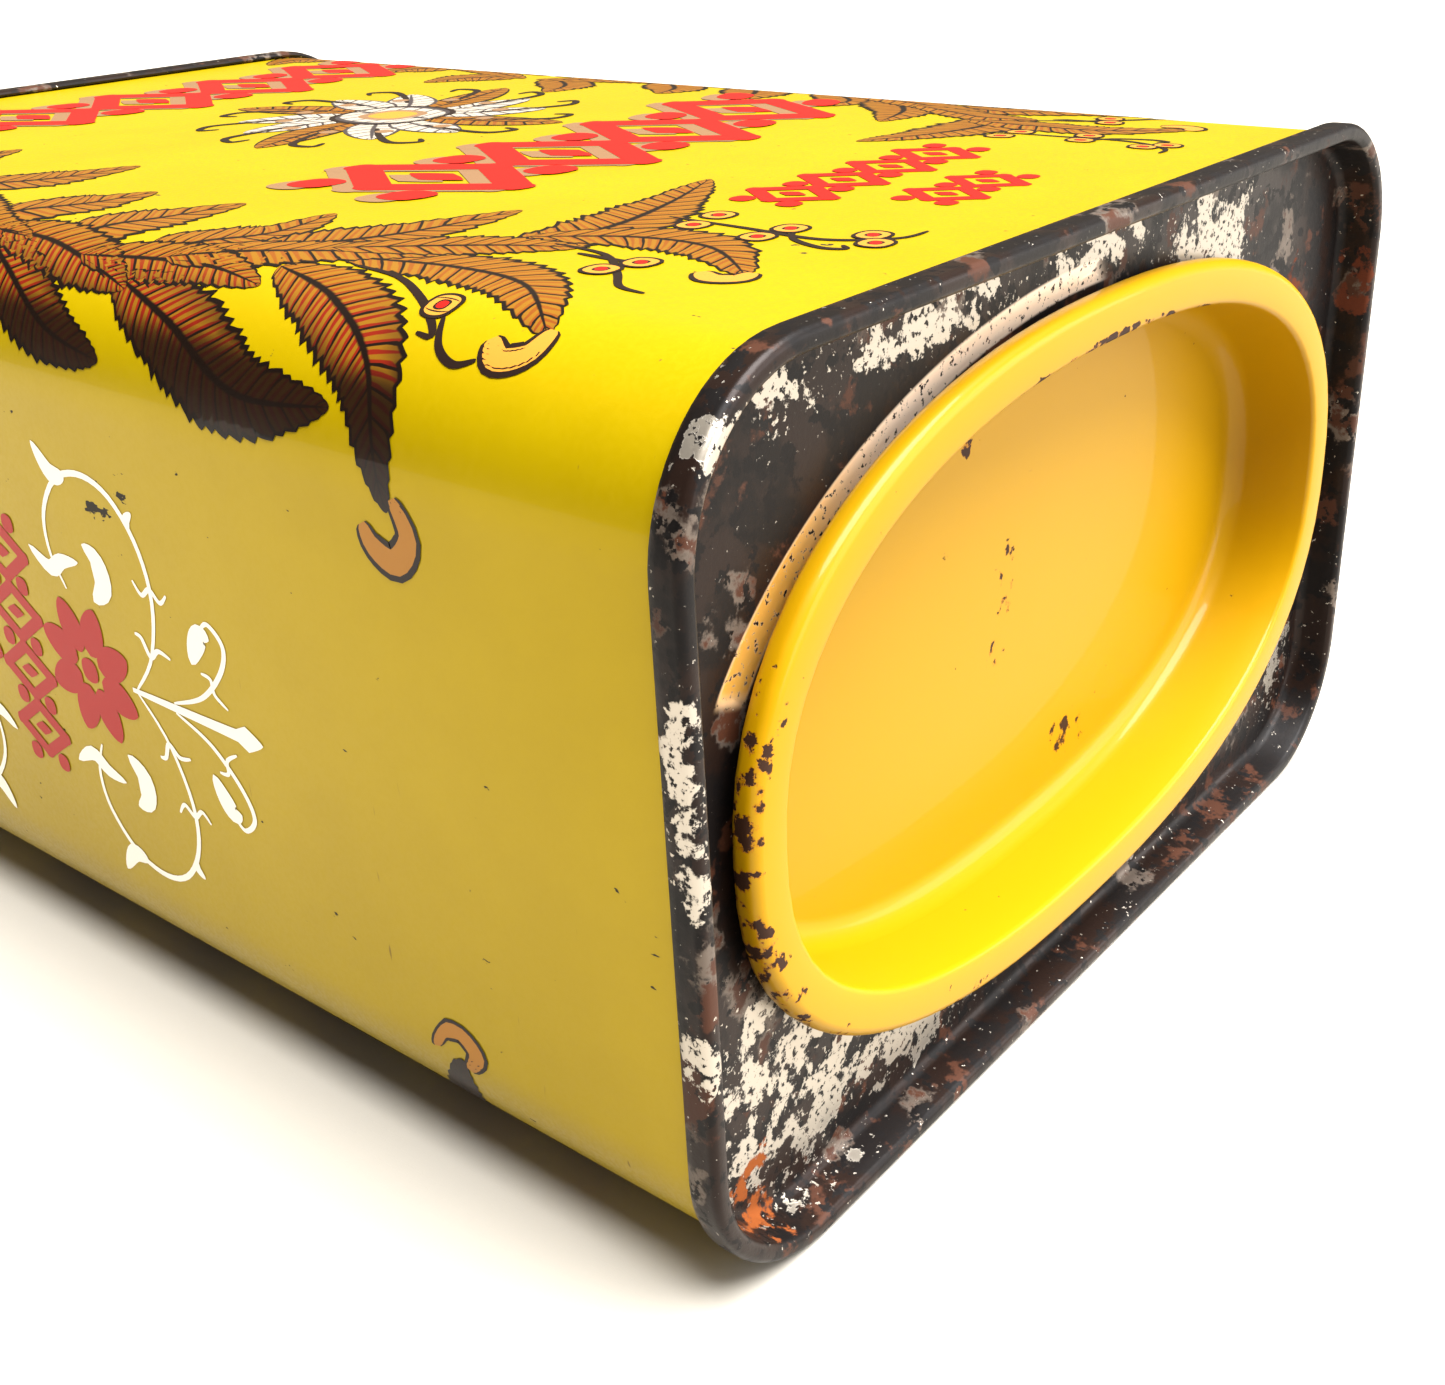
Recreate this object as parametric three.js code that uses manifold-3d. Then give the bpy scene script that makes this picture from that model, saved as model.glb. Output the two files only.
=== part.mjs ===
// Oblong lever-lid tin, lying on its back face.
//
// Millimetres. +X is the tin's width, +Y runs from the lid end to the base end and
// +Z is up through its thickness. The origin is the centre of the box's underside.

import * as THREE from 'three';
import { mergeVertices } from 'three/addons/utils/BufferGeometryUtils.js';
import Module from 'manifold-3d';

const wasm = await Module();
wasm.setup();

// ---- Driving dimensions -------------------------------------------------------

const tinWidth = 102; // across the end seams
const tinThickness = 65.5; // across the end seams
const tinLength = 150; // crest to crest
const cornerRadius = 12; // outside of the end seams

const sheet = 0.3; // tinplate gauge
const gap = 0.3; // between neighbouring pieces
const hookThickness = 0.5; // outside of a seam, where its folded layers are pressed together
const seamHeight = 2.6;
const crestRadius = 0.5; // rounding of a seam's crest
const compoundHeight = 0.5; // sealing compound inside a seam, along the tin's axis

const panelDepth = 3.6; // seam crest to the sunk end panel
const panelFillet = 1; // where an end's chuck wall meets its panel
const baseStepInset = 7; // outside of the seam to the base panel's stiffening step
const baseStepRise = 0.8;
const baseStepSlope = 1.2;

const lidSideMargin = 6; // outside of the seam to the lid's rolled rim, at its two ends
const lidLongMargin = 6.25; // the same, along the lid's two long sides
const lidSquareness = 2.35; // 2 is an ellipse, more is squarer
const rimWidth = 3.6; // outside edge of the rolled rim to the well's wall
const rimBelowCrest = 0.7; // top of the rim, measured from the seam's crest
const rimRadius = 1.3;
const rimCurl = 0.9; // return of the rolled edge under the rim
const wellDepth = 8.4; // top of the rim to the well's floor
const wellFillet = 2.2;
const neckLength = 4.6; // how far the neck turns down into the tin

const solderWidth = 5; // run of solder along the inside of the side seam
const solderAboveCorner = 4; // its centre line, from where the tin's side turns flat
const solderEndGap = 2; // from the solder's ends to the end panels

// ---- Smoothness -----------------------------------------------------------------

const cornerSteps = 9; // facets in a quarter turn of the tin's corner
const ovalSteps = 76; // facets around the lid
const arcSteps = 4; // facets in a quarter turn of a bend in the sheet

// ---- Sizes worked out from the driving dimensions ----------------------------------
// Across the wall these are insets from the outside of a seam, and for the lid from the
// outside of its rim. Along the tin's axis they are depths below the seam's crest.

const bodyOuter = hookThickness + gap;
const bodyInner = bodyOuter + sheet;
const chuckOuter = bodyInner + gap;
const chuckInner = chuckOuter + sheet;
const compoundStart = sheet + gap;
const bodyStart = compoundStart + compoundHeight + gap;

const plugOuter = rimWidth - sheet;
const neckInner = plugOuter - gap;
const neckOuter = neckInner - sheet;
const rimBottom = panelDepth - gap;
const wellFloor = rimBelowCrest + wellDepth;
const panelUnderside = panelDepth + sheet;

// ---- Outlines: points and inward normals around a closed curve ------------------------

function roundedRectangle(width, height, radius) {
  const stations = [];
  for (let corner = 0; corner < 4; corner += 1) {
    const signX = corner === 0 || corner === 3 ? 1 : -1;
    const signY = corner < 2 ? 1 : -1;
    const centre = new THREE.Vector2(signX * (width / 2 - radius), signY * (height / 2 - radius));
    for (let step = 0; step <= cornerSteps; step += 1) {
      const angle = (corner + step / cornerSteps) * Math.PI / 2;
      const outward = new THREE.Vector2(Math.cos(angle), Math.sin(angle));
      const point = outward.clone().multiplyScalar(radius).add(centre);
      stations.push({ point, inward: outward.negate() });
    }
  }
  return stations;
}

// |x / a|^n + |y / b|^n = 1, where n is the squareness.
function squaredOval(width, height, squareness) {
  const stations = [];
  const slope = (along, half) => -Math.sign(along) * Math.abs(along / half) ** (squareness - 1) / half;
  const stretch = (share, half) => half * Math.sign(share) * Math.abs(share) ** (2 / squareness);
  for (let step = 0; step < ovalSteps; step += 1) {
    const angle = (step + 0.5) / ovalSteps * 2 * Math.PI;
    const x = stretch(Math.cos(angle), width / 2);
    const y = stretch(Math.sin(angle), height / 2);
    const inward = new THREE.Vector2(slope(x, width / 2), slope(y, height / 2)).normalize();
    stations.push({ point: new THREE.Vector2(x, y), inward });
  }
  return stations;
}

function insetPoints(outline, inset) {
  return outline.map(({ point, inward }) => inward.clone().multiplyScalar(inset).add(point));
}

const seamOutline = roundedRectangle(tinWidth, tinThickness, cornerRadius);
const lidWidth = tinWidth - 2 * lidSideMargin;
const lidHeight = tinThickness - 2 * lidLongMargin;
const lidOutline = squaredOval(lidWidth, lidHeight, lidSquareness);

// ---- Profiles: lists of [inset, depth] -------------------------------------------------

// A bend, from one angle to another. 0 degrees points inwards, 90 degrees points deeper.
function bend(centreInset, centreDepth, radius, fromDegrees, toDegrees) {
  const points = [];
  for (let step = 0; step <= arcSteps; step += 1) {
    const degrees = fromDegrees + (toDegrees - fromDegrees) * step / arcSteps;
    const angle = THREE.MathUtils.degToRad(degrees);
    points.push([centreInset + radius * Math.cos(angle), centreDepth + radius * Math.sin(angle)]);
  }
  return points;
}

// ---- Solids ------------------------------------------------------------------------

function toSolid(geometry) {
  geometry.deleteAttribute('normal');
  geometry.deleteAttribute('uv');
  const merged = mergeVertices(geometry, 1e-5);
  return new wasm.Manifold(new wasm.Mesh({
    numProp: 3,
    vertProperties: new Float32Array(merged.attributes.position.array),
    triVerts: new Uint32Array(merged.index.array),
  }));
}

// A lathe whose turn follows an outline instead of a circle. The profile runs with its
// material on the left, with insets drawn to the right and depths drawn up.
function ring(outline, profile) {
  const loop = [...profile, profile[0]];
  const section = loop.map(([inset, depth]) => new THREE.Vector2(inset, depth));
  const geometry = new THREE.LatheGeometry(section, outline.length);
  const position = geometry.attributes.position;
  for (let index = 0; index < position.count; index += 1) {
    const { point, inward } = outline[Math.floor(index / loop.length) % outline.length];
    const [inset, depth] = loop[index % loop.length];
    position.setXYZ(index, point.x + inward.x * inset, depth, point.y + inward.y * inset);
  }
  return toSolid(geometry);
}

// A straight-sided ring between two insets and two depths.
function band(outline, outerInset, innerInset, startDepth, endDepth) {
  return ring(outline, [
    [outerInset, startDepth],
    [innerInset, startDepth],
    [innerInset, endDepth],
    [outerInset, endDepth],
  ]);
}

// A flat plate inside an outline, with an optional hole inside a second outline.
function plate(outline, inset, startDepth, endDepth, holeOutline = null, holeInset = 0) {
  const shape = new THREE.Shape(insetPoints(outline, inset));
  if (holeOutline) {
    shape.holes.push(new THREE.Path(insetPoints(holeOutline, holeInset)));
  }
  const thickness = endDepth - startDepth;
  const geometry = new THREE.ExtrudeGeometry(shape, { depth: thickness, bevelEnabled: false });
  geometry.rotateX(Math.PI / 2);
  geometry.translate(0, endDepth, 0);
  return toSolid(geometry);
}

// ---- Pieces -----------------------------------------------------------------------

// An end's sheet: from its outside hook, over the crest and down the chuck wall, then in
// along panelFace, a list of [inset, depth], and back along the sheet's other side.
function seamProfile(panelFace) {
  const crestInset = chuckInner - crestRadius;
  const filletInset = chuckInner + panelFillet;
  const filletDepth = panelDepth - panelFillet;
  const panelBack = panelFace.map(([inset, depth]) => [inset, depth + sheet]).reverse();
  return [
    [hookThickness, sheet],
    [hookThickness, seamHeight],
    [0, seamHeight],
    ...bend(crestRadius, crestRadius, crestRadius, 180, 270),
    ...bend(crestInset, crestRadius, crestRadius, 270, 360),
    ...bend(filletInset, filletDepth, panelFillet, 180, 90),
    ...panelFace,
    ...panelBack,
    ...bend(filletInset, filletDepth, panelFillet + sheet, 90, 180),
    [chuckOuter, sheet],
  ];
}

function lidEnd() {
  const hoopInset = chuckInner + panelFillet + sheet;
  const hoop = ring(seamOutline, seamProfile([[hoopInset, panelDepth]]));
  const panelInset = hoopInset - sheet / 2;
  const panel = plate(seamOutline, panelInset, panelDepth, panelUnderside, lidOutline, neckInner);
  const neck = band(lidOutline, neckOuter, neckInner, panelDepth, panelDepth + neckLength);
  return hoop.add(panel).add(neck);
}

function baseEnd() {
  const raisedDepth = panelDepth - baseStepRise;
  const stepTop = baseStepInset + baseStepSlope;
  const hoopInset = stepTop + sheet;
  const hoop = ring(seamOutline, seamProfile([
    [baseStepInset, panelDepth],
    [stepTop, raisedDepth],
    [hoopInset, raisedDepth],
  ]));
  const panel = plate(seamOutline, hoopInset - sheet / 2, raisedDepth, raisedDepth + sheet);
  return hoop.add(panel);
}

// A can with a rolled rim: the rolled edge, the rim, the well's wall, then its floor.
function leverLid() {
  const filletInset = rimWidth + wellFillet;
  const filletDepth = wellFloor - wellFillet;
  const rimInner = rimWidth - rimRadius;
  const rimCentre = rimBelowCrest + rimRadius;
  const hoopInset = filletInset + sheet;
  const hoop = ring(lidOutline, [
    [plugOuter, rimBelowCrest + sheet],
    [sheet, rimBelowCrest + sheet],
    [sheet, rimBottom - sheet],
    [rimCurl, rimBottom - sheet],
    [rimCurl, rimBottom],
    [0, rimBottom],
    ...bend(rimRadius, rimCentre, rimRadius, 180, 270),
    ...bend(rimInner, rimCentre, rimRadius, 270, 360),
    ...bend(filletInset, filletDepth, wellFillet, 180, 90),
    [hoopInset, wellFloor],
    [hoopInset, wellFloor + sheet],
    ...bend(filletInset, filletDepth, wellFillet + sheet, 90, 180),
  ]);
  const floor = plate(lidOutline, hoopInset - sheet / 2, wellFloor, wellFloor + sheet);
  return hoop.add(floor);
}

function bodyWall() {
  return band(seamOutline, bodyOuter, bodyInner, bodyStart, tinLength - bodyStart);
}

function seamCompound() {
  const endDepth = compoundStart + compoundHeight;
  return band(seamOutline, bodyOuter, bodyInner, compoundStart, endDepth);
}

function seamSolder() {
  const startDepth = panelUnderside + solderEndGap;
  const length = tinLength - 2 * startDepth;
  const geometry = new THREE.BoxGeometry(sheet, length, solderWidth);
  const x = tinWidth / 2 - bodyInner - gap - sheet / 2;
  const z = cornerRadius + solderAboveCorner - tinThickness / 2;
  geometry.translate(x, tinLength / 2, z);
  return toSolid(geometry);
}

// ---- Materials --------------------------------------------------------------------

const printedTinplate = new THREE.MeshStandardMaterial({ color: 0xe3c53a, roughness: 0.25 });
const yellowEnamel = new THREE.MeshStandardMaterial({ color: 0xf2bd10, roughness: 0.18 });
const agedTinplate = new THREE.MeshStandardMaterial({ color: 0x4a423c, roughness: 0.45, metalness: 0.8 });
const solder = new THREE.MeshStandardMaterial({ color: 0x9a9a98, roughness: 0.5, metalness: 0.9 });
const compound = new THREE.MeshStandardMaterial({ color: 0x8c8678, roughness: 0.9 });

// ---- Assembly ----------------------------------------------------------------------

function toMesh(name, solid, material) {
  const { vertProperties, triVerts } = solid.getMesh();
  const geometry = new THREE.BufferGeometry();
  geometry.setAttribute('position', new THREE.BufferAttribute(vertProperties, 3));
  geometry.setIndex(new THREE.BufferAttribute(triVerts, 1));
  const mesh = new THREE.Mesh(geometry, material);
  mesh.name = name;
  return mesh;
}

const lidSide = new THREE.Group();
lidSide.add(
  toMesh('lid_end', lidEnd(), agedTinplate),
  toMesh('lid_end_seam_compound', seamCompound(), compound),
  toMesh('lever_lid', leverLid(), yellowEnamel),
);

const baseSide = new THREE.Group();
baseSide.rotation.z = Math.PI;
baseSide.position.y = tinLength;
baseSide.add(
  toMesh('base_end', baseEnd(), agedTinplate),
  toMesh('base_end_seam_compound', seamCompound(), compound),
);

const tin = new THREE.Group();
tin.position.set(0, -tinLength / 2, tinThickness / 2);
tin.add(
  toMesh('body_wall', bodyWall(), printedTinplate),
  toMesh('side_seam_solder', seamSolder(), solder),
  lidSide,
  baseSide,
);

export default tin;
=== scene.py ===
# %% [markdown]
# # An oblong lever-lid tin
#
# The tin lies on its back face. +X is its width, +Y runs from the lid end to the base end,
# and +Z is up. Every length in this file is in metres; `MM` keeps the numbers readable.

# %% Imports and the frame
import math

import bmesh
import bpy
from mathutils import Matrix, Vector, noise


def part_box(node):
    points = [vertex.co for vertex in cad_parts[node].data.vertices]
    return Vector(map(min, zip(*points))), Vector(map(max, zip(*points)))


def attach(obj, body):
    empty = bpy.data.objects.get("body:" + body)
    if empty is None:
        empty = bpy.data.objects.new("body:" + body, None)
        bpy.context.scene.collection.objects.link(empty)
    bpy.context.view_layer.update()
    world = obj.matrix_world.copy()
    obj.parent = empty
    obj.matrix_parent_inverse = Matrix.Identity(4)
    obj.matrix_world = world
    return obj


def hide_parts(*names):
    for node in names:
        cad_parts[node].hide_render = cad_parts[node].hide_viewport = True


MM = 0.001
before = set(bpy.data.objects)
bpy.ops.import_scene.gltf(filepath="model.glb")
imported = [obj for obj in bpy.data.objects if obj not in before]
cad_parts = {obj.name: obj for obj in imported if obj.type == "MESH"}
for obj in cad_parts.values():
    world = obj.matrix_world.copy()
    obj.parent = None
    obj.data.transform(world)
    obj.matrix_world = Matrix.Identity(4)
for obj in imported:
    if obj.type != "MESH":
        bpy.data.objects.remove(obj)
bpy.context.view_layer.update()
bpy.ops.object.select_all(action="DESELECT")

# %% [markdown]
# ## Sizes
#
# The frame knows the real sizes, so they are read from its nodes' boxes. Only what a box
# can't tell, such as the radius of a corner, is named here.

# %% Sizes read from the frame
seam_low, seam_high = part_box("lid_end")
body_low, body_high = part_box("body_wall")
rim_low, rim_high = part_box("lever_lid")
base_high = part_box("base_end")[1]

tin_width = seam_high.x - seam_low.x
tin_thickness = seam_high.z - seam_low.z
tin_length = base_high.y - seam_low.y
middle_z = (seam_low.z + seam_high.z) / 2
body_inset = body_low.x - seam_low.x
lid_width = rim_high.x - rim_low.x
lid_height = rim_high.z - rim_low.z
rim_depth = rim_low.y

corner_radius = 12 * MM
sheet = 0.25 * MM
print("tin, mm:", round(tin_width / MM, 1), round(tin_length / MM, 1), round(tin_thickness / MM, 1))

# %% [markdown]
# ## The camera
#
# A short lens close to the tin gives the strong perspective of a product seen from half a
# metre or less. The camera stands off the lid end's left corner and looks down at the tin.

# %% Camera
CAMERA_PLACE = Vector((-112.8, -130.7, 90.0)) * MM
CAMERA_YAW = 0.8895
CAMERA_PITCH = 0.4452
CAMERA_ROLL = -0.0377
IMAGE_WIDTH = 1445
FOCAL_IN_IMAGE_WIDTHS = 1712.1 / IMAGE_WIDTH
SHIFT = (-0.0295, -0.0285)


def add_camera():
    yaw, pitch, roll = CAMERA_YAW, CAMERA_PITCH, CAMERA_ROLL
    ahead = Vector((math.sin(yaw) * math.cos(pitch), math.cos(yaw) * math.cos(pitch), -math.sin(pitch)))
    level = Vector((math.cos(yaw), -math.sin(yaw), 0))
    upward = level.cross(ahead)
    right = math.cos(roll) * level + math.sin(roll) * upward
    up = math.cos(roll) * upward - math.sin(roll) * level
    bpy.ops.object.camera_add(location=CAMERA_PLACE)
    camera = bpy.context.object
    camera.name = "camera"
    matrix = camera.matrix_world.copy()
    for row in range(3):
        matrix[row][0], matrix[row][1], matrix[row][2] = right[row], up[row], -ahead[row]
    camera.matrix_world = matrix
    camera.data.lens = FOCAL_IN_IMAGE_WIDTHS * camera.data.sensor_width
    camera.data.shift_x, camera.data.shift_y = SHIFT
    camera.data.clip_start = 0.01
    bpy.context.scene.camera = camera
    return camera


camera = add_camera()
print("lens, mm:", round(camera.data.lens, 1))
bpy.context.scene.view_settings.view_transform = "Standard"

# %% [markdown]
# ## Finishes
#
# A finish starts as one plain Principled shader. `cover` then lays another finish over it
# wherever a mask is 1, so every material reads as a stack: metal, enamel, rust, dirt.
# The masks are noise in Object coordinates, and `near` keeps wear where hands, rubbing
# and damp put it.

# %% Small helpers for node trees
def srgb(red, green, blue):
    """A colour given in 0 to 255 steps, as the linear value that shaders need."""
    def linear(step):
        share = step / 255
        return share / 12.92 if share <= 0.04045 else ((share + 0.055) / 1.055) ** 2.4
    return (linear(red), linear(green), linear(blue), 1)


def set_inputs(node, values):
    for name, value in values.items():
        node.inputs[name.replace("_", " ")].default_value = value


def new_finish(name, **values):
    finish = bpy.data.materials.new(name)
    finish.use_nodes = True
    set_inputs(finish.node_tree.nodes["Principled BSDF"], values)
    return finish


def add_node(tree, kind, **inputs):
    node = tree.nodes.new("ShaderNode" + kind)
    set_inputs(node, inputs)
    return node


def plug(tree, source, target):
    """Links a socket, or sets the value when the source is a plain number or vector."""
    if isinstance(source, bpy.types.NodeSocket):
        tree.links.new(source, target)
    else:
        target.default_value = source


def object_place(tree):
    return add_node(tree, "TexCoord").outputs["Object"]


def sums(tree, operation, a, b=0.0, clamp=True):
    node = add_node(tree, "Math")
    node.operation = operation
    node.use_clamp = clamp
    plug(tree, a, node.inputs[0])
    plug(tree, b, node.inputs[1])
    return node.outputs[0]


def step_between(tree, value, low, high):
    """0 below `low`, 1 above `high` and a smooth rise between."""
    node = add_node(tree, "MapRange", From_Min=low, From_Max=high)
    node.interpolation_type = "SMOOTHSTEP"
    plug(tree, value, node.inputs["Value"])
    return node.outputs["Result"]


def grain(tree, size, detail=4.0, stretch=(1, 1, 1)):
    """Noise with features about `size` metres across. Its value stays around 0.5."""
    mapping = add_node(tree, "Mapping", Scale=stretch)
    tree.links.new(object_place(tree), mapping.inputs["Vector"])
    texture = add_node(tree, "TexNoise", Scale=1 / size, Detail=detail, Roughness=0.6)
    tree.links.new(mapping.outputs[0], texture.inputs["Vector"])
    return texture.outputs["Fac"]


def near(tree, place, reach):
    """1 at a place on the tin, falling to 0 at the reach. Both are in millimetres."""
    distance = add_node(tree, "VectorMath")
    distance.operation = "DISTANCE"
    spread = add_node(tree, "Mapping", Scale=[1 / (r * MM) for r in reach])
    tree.links.new(object_place(tree), spread.inputs["Vector"])
    tree.links.new(spread.outputs[0], distance.inputs[0])
    distance.inputs[1].default_value = [p / r for p, r in zip(place, reach)]
    return step_between(tree, sums(tree, "SUBTRACT", 1.0, distance.outputs["Value"]), 0.0, 0.7)


def oval_distance(tree, half_x, half_z):
    """1 on the oval with these half sizes, in metres, round the lid's middle. Less inside."""
    scale = (1 / half_x, 0, 1 / half_z)
    centred = add_node(tree, "Mapping", Scale=scale, Location=(0, 0, -middle_z / half_z))
    tree.links.new(object_place(tree), centred.inputs["Vector"])
    length = add_node(tree, "VectorMath")
    length.operation = "LENGTH"
    tree.links.new(centred.outputs[0], length.inputs[0])
    return length.outputs["Value"]


def between(tree, value, low, high, edge):
    """1 from `low` to `high`, with soft edges."""
    start = step_between(tree, value, low - edge, low)
    end = step_between(tree, value, high, high + edge)
    return sums(tree, "SUBTRACT", start, end)


def together(tree, masks):
    total = masks[0]
    for mask in masks[1:]:
        total = sums(tree, "MAXIMUM", total, mask)
    return total


def speckle(tree, texture, where, amount, edge=0.03):
    """Specks that close up where `where` rises towards 1. `amount` is how far it lowers the bar."""
    raised = sums(tree, "ADD", texture, sums(tree, "MULTIPLY", where, amount), clamp=False)
    return step_between(tree, raised, 0.72, 0.72 + edge)


# A Mix node keeps one set of sockets for each kind: factor, first, second and result.
MIX_SOCKETS = {"RGBA": (0, 6, 7, 2), "VALUE": (0, 2, 3, 0)}


def mixed(tree, kind, mask, before, after):
    """`before` where the mask is 0, `after` where it is 1."""
    node = add_node(tree, "Mix")
    node.data_type = "RGBA" if kind == "RGBA" else "FLOAT"
    factor, first, second, result = MIX_SOCKETS[kind]
    plug(tree, mask, node.inputs[factor])
    plug(tree, before, node.inputs[first])
    plug(tree, after, node.inputs[second])
    return node.outputs[result]


def cover(finish, mask, **values):
    """Lays another finish over the present one wherever the mask is 1."""
    tree = finish.node_tree
    shader = tree.nodes["Principled BSDF"]
    for name, value in values.items():
        target = shader.inputs[name.replace("_", " ")]
        before = target.links[0].from_socket if target.is_linked else target.default_value
        tree.links.new(mixed(tree, target.type, mask, before, value), target)


def emboss(finish, height, depth, strength=1.0):
    """Raises the surface by `height`, a mask from 0 to 1, times a depth in metres."""
    tree = finish.node_tree
    shader = tree.nodes["Principled BSDF"]
    bump = add_node(tree, "Bump", Strength=strength, Distance=depth)
    tree.links.new(height, bump.inputs["Height"])
    if shader.inputs["Normal"].is_linked:
        tree.links.new(shader.inputs["Normal"].links[0].from_socket, bump.inputs["Normal"])
    tree.links.new(bump.outputs[0], shader.inputs["Normal"])


# %% [markdown]
# ## Floor and light
#
# A pale cloth and soft light from all round is how a bright product picture is lit. Glossy
# enamel shows whatever surrounds it, so the world isn't one even white. It has a dark area
# low down on one side, and that gives the tin's long corner its deep tone.

# %% Floor
FLOOR_SIZE = 6.0

bpy.ops.mesh.primitive_grid_add(x_subdivisions=8, y_subdivisions=8, size=FLOOR_SIZE)
floor = bpy.context.object
floor.name = "floor"
pale_cloth = new_finish("pale_cloth", Base_Color=srgb(164, 159, 150), Roughness=0.9)
floor.data.materials.append(pale_cloth)
tree = pale_cloth.node_tree
weave = add_node(tree, "TexChecker", Scale=1200.0)
tree.links.new(object_place(tree), weave.inputs["Vector"])
emboss(pale_cloth, weave.outputs["Fac"], 0.0003, 0.25)

print("floor, m:", FLOOR_SIZE)

# %% [markdown]
# ### The world
#
# A picture of a room could light the tin, but a ramp needs no file: one dot product tells
# how near each direction is to the dark side. The camera sees the sky plain and white,
# while the tin is lit by a weaker, warmer one.

# %% World
DARK_SIDE = Vector((-0.42, 0.88, 0.16)).normalized()
SKY_COLOUR = (1.0, 0.86, 0.66, 1)
DARK_COLOUR = (0.05, 0.04, 0.03, 1)
DARK_EDGE = 0.74
DARK_MIDDLE = 0.965
SKY_STRENGTH = 0.32
SEEN_STRENGTH = 1.2


def light_world():
    world = bpy.data.worlds.new("soft_room")
    bpy.context.scene.world = world
    world.use_nodes = True
    tree = world.node_tree
    where = add_node(tree, "TexCoord").outputs["Generated"]
    facing = add_node(tree, "VectorMath")
    facing.operation = "DOT_PRODUCT"
    tree.links.new(where, facing.inputs[0])
    facing.inputs[1].default_value = DARK_SIDE
    ramp = add_node(tree, "ValToRGB")
    tree.links.new(facing.outputs["Value"], ramp.inputs[0])
    stops = ramp.color_ramp.elements
    stops[0].position, stops[0].color = DARK_EDGE, SKY_COLOUR
    stops[1].position, stops[1].color = DARK_MIDDLE, DARK_COLOUR
    seen = add_node(tree, "LightPath").outputs["Is Camera Ray"]
    colour = mixed(tree, "RGBA", seen, ramp.outputs["Color"], (1, 1, 1, 1))
    extra = sums(tree, "MULTIPLY", seen, SEEN_STRENGTH - SKY_STRENGTH, clamp=False)
    strength = sums(tree, "ADD", extra, SKY_STRENGTH, clamp=False)
    background = tree.nodes["Background"]
    tree.links.new(colour, background.inputs["Color"])
    tree.links.new(strength, background.inputs["Strength"])


light_world()
print("sky strength:", SKY_STRENGTH)

# %% [markdown]
# ### The lamps
#
# One wide lamp stands for a window overhead. Its spread gives the soft but close shadow
# under the tin. A second one, level with the lid, fills the lid's well. Area lamps would
# do as well, but a sun lights every view of the tin alike.

# %% Lamps
def add_sun(name, towards, strength, spread):
    """A far lamp that shines from `towards`. A wide spread gives it soft shadows."""
    bpy.ops.object.light_add(type="SUN")
    lamp = bpy.context.object
    lamp.name = name
    lamp.data.energy = strength
    lamp.data.angle = math.radians(spread)
    lamp.rotation_euler = Vector(towards).to_track_quat("Z", "Y").to_euler()
    return lamp


add_sun("window", towards=(0.12, -0.30, 1.0), strength=17.0, spread=52)
add_sun("room_light", towards=(0.50, -1.0, 0.10), strength=6.6, spread=70)

# %% [markdown]
# ## Outlines
#
# Two closed curves shape every piece of sheet. The body and both end seams follow a
# rectangle with round corners, and the lid and its neck follow an oval that is a little
# squarer than an ellipse. Both are lists of stations: a point, and the way that leads in.

# %% The two outlines
CORNER_STEPS = 16
LONG_SIDE_STEPS = 20
SHORT_SIDE_STEPS = 12
LID_SQUARENESS = 2.35


def rounded_rectangle(width, height, radius):
    half = Vector((width / 2 - radius, height / 2 - radius))
    stations = []
    for corner, (sign_x, sign_z) in enumerate([(1, 1), (-1, 1), (-1, -1), (1, -1)]):
        centre = Vector((sign_x * half.x, sign_z * half.y))
        for step in range(CORNER_STEPS + 1):
            angle = (corner + step / CORNER_STEPS) * math.pi / 2
            out = Vector((math.cos(angle), math.sin(angle)))
            stations.append((centre + out * radius, -out))
        side_steps = LONG_SIDE_STEPS if corner % 2 == 0 else SHORT_SIDE_STEPS
        run = 2 * (half.x if corner % 2 == 0 else half.y)
        corner_end = stations[-1][0]
        forward = Vector((-out.y, out.x))
        for step in range(1, side_steps):
            stations.append((corner_end + forward * run * step / side_steps, -out))
    return stations


def oval_station(width, height, angle):
    """The oval |x/a|^n + |z/b|^n = 1, where a line from its middle at that angle meets it."""
    a, b, n = width / 2, height / 2, LID_SQUARENESS
    cosine, sine = math.cos(angle), math.sin(angle)
    reach = (abs(cosine / a) ** n + abs(sine / b) ** n) ** (-1 / n)
    point = Vector((cosine, sine)) * reach
    slope_x = math.copysign(abs(point.x / a) ** (n - 1) / a, point.x)
    slope_z = math.copysign(abs(point.y / b) ** (n - 1) / b, point.y)
    return point, -Vector((slope_x, slope_z)).normalized()


seam_outline = rounded_rectangle(tin_width, tin_thickness, corner_radius)
lid_outline = [
    oval_station(lid_width, lid_height, math.atan2(point.y, point.x)) for point, _ in seam_outline
]
print("stations round the tin:", len(seam_outline))

# %% [markdown]
# ## Drawing sheet metal
#
# A press draws a flat blank into shape one ring at a time, and extrusion does the same. A
# circle is added, put on the outline, and its edge is extruded ring by ring along a
# profile. Solidify then gives the surface the thickness of tinplate.
#
# A profile is a list of `(inset, depth)` in millimetres: how far in from the outline, and
# how far below the crest of the end seam.

# %% Rings, bends and the drawing of a sheet
def ring_points(outline, inset, depth, from_base=False):
    y = base_high.y - depth * MM if from_base else seam_low.y + depth * MM
    return [
        Vector((at.x + inward.x * inset * MM, y, middle_z + at.y + inward.y * inset * MM))
        for at, inward in outline
    ]


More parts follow.
